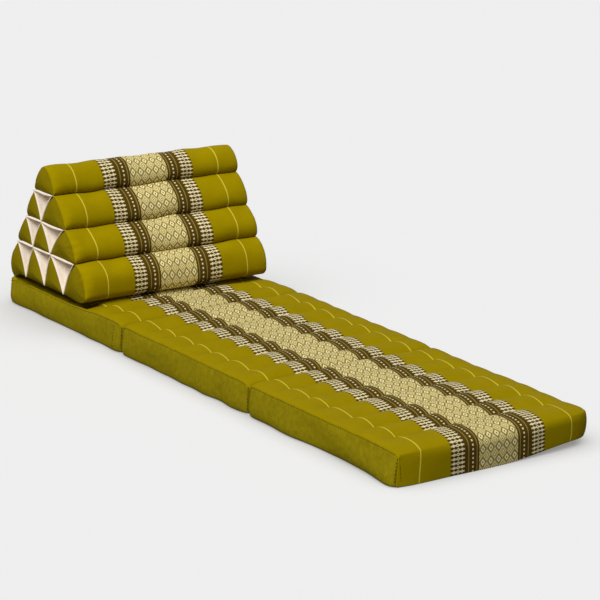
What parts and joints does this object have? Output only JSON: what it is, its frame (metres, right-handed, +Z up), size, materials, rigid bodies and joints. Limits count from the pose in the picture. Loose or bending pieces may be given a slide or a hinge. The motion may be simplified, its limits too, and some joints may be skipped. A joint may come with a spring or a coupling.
{
  "type": "triangle cushion with folding mattress",
  "caption": "Floor cushion with a quilted folding mattress and a triangular back rest of stuffed tubes around open, lined hollows.",
  "frame": {"origin": "on the floor, under the middle of the whole cushion's box", "axes": "+X across the width along the back rest's tubes, from the near side to the far side, +Y along the mattress from the foot to the head, where the back rest stands, +Z up"},
  "size_m": [0.5356, 1.674, 0.381],
  "materials": {
    "patterned_cloth": "matt woven cotton, olive with a cream and brown woven middle band",
    "plain_cloth": "matt plain olive cotton",
    "side_cloth": "matt olive cotton with a slight nap",
    "cream_cotton": "matt cream cotton"
  },
  "bodies": {
    "root": {"mattress_section_head": "patterned_cloth", "mattress_section_middle": "patterned_cloth", "mattress_section_foot": "patterned_cloth", "side_panel_near_head": "side_cloth", "side_panel_near_middle": "side_cloth", "side_panel_near_foot": "side_cloth", "side_panel_far_head": "side_cloth", "side_panel_far_middle": "side_cloth", "side_panel_far_foot": "side_cloth", "tube_row1_1": "patterned_cloth", "tube_row2_1": "patterned_cloth", "tube_row2_2": "patterned_cloth", "tube_row3_1": "patterned_cloth", "tube_row3_2": "patterned_cloth", "tube_row3_3": "patterned_cloth", "tube_row4_1": "patterned_cloth", "tube_row4_2": "patterned_cloth", "tube_row4_3": "patterned_cloth", "tube_row4_4": "patterned_cloth", "end_cap_near_row1_1": "plain_cloth", "end_cap_near_row2_1": "plain_cloth", "end_cap_near_row2_2": "plain_cloth", "end_cap_near_row3_1": "plain_cloth", "end_cap_near_row3_2": "plain_cloth", "end_cap_near_row3_3": "plain_cloth", "end_cap_near_row4_1": "plain_cloth", "end_cap_near_row4_2": "plain_cloth", "end_cap_near_row4_3": "plain_cloth", "end_cap_near_row4_4": "plain_cloth", "end_cap_far_row1_1": "plain_cloth", "end_cap_far_row2_1": "plain_cloth", "end_cap_far_row2_2": "plain_cloth", "end_cap_far_row3_1": "plain_cloth", "end_cap_far_row3_2": "plain_cloth", "end_cap_far_row3_3": "plain_cloth", "end_cap_far_row4_1": "plain_cloth", "end_cap_far_row4_2": "plain_cloth", "end_cap_far_row4_3": "plain_cloth", "end_cap_far_row4_4": "plain_cloth", "gap_lining_row2_1": "cream_cotton", "gap_lining_row3_1": "cream_cotton", "gap_lining_row3_2": "cream_cotton", "gap_lining_row4_1": "cream_cotton", "gap_lining_row4_2": "cream_cotton", "gap_lining_row4_3": "cream_cotton"}
  },
  "joints": []
}
